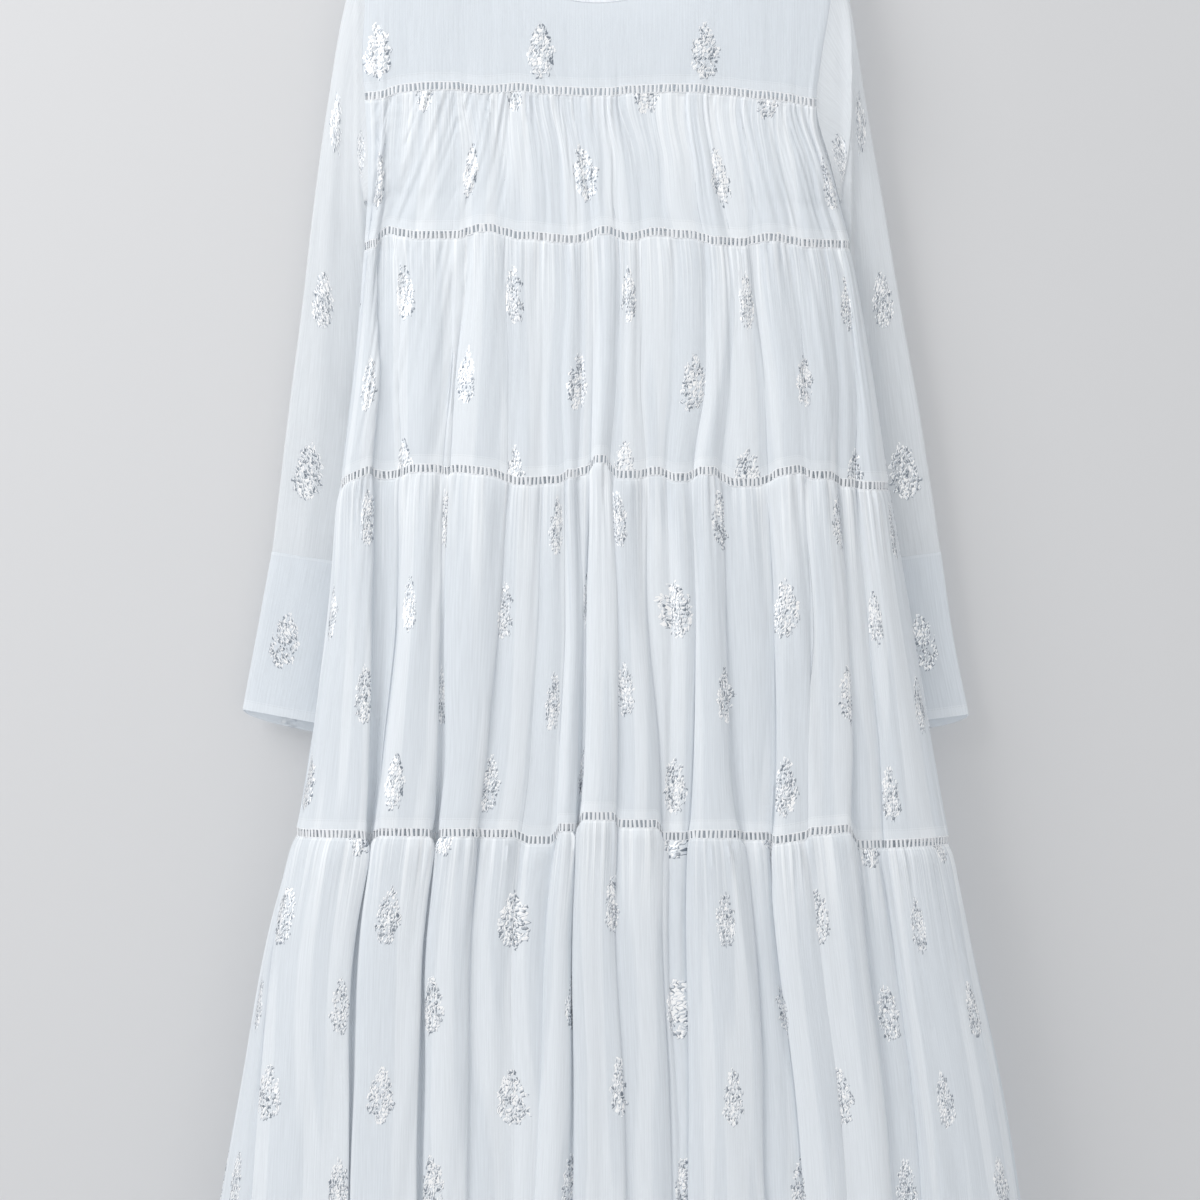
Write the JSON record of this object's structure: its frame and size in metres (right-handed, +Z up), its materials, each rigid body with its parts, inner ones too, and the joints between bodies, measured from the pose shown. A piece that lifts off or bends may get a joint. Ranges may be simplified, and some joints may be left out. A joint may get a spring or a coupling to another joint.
{
  "type": "tiered midi dress on a hanger",
  "caption": "Sheer tiered midi dress with long sleeves, deep cuffs, a bound round neck and ladder trims between gathered tiers, hung on a plain hanger.",
  "frame": {"origin": "the top of the hook's inner bend, where it bears on its rod", "axes": "+Z up, the front of the dress faces -Y, +X to the right as seen from the front"},
  "size_m": [0.664, 0.136, 1.2517],
  "materials": {
    "voile": "sheer matte cotton voile, cool white, with scattered silver foil leaves",
    "ladder_trim": "matte white ladder trim with open squares",
    "hanger_wood": "satin pale wood",
    "steel": "satin steel wire"
  },
  "bodies": {
    "root": {"yoke_front": "voile", "tier_2_front": "voile", "tier_3_front": "voile", "tier_4_front": "voile", "tier_5_front": "voile", "yoke_back": "voile", "tier_2_back": "voile", "tier_3_back": "voile", "tier_4_back": "voile", "tier_5_back": "voile", "ladder_trim_1_front": "ladder_trim", "ladder_trim_2_front": "ladder_trim", "ladder_trim_3_front": "ladder_trim", "ladder_trim_4_front": "ladder_trim", "ladder_trim_1_back": "ladder_trim", "ladder_trim_2_back": "ladder_trim", "ladder_trim_3_back": "ladder_trim", "ladder_trim_4_back": "ladder_trim", "neck_binding": "voile", "sleeve_left": "voile", "sleeve_right": "voile", "cuff_left": "voile", "cuff_right": "voile", "hanger_bar": "hanger_wood", "hanger_hook": "steel"}
  },
  "joints": []
}
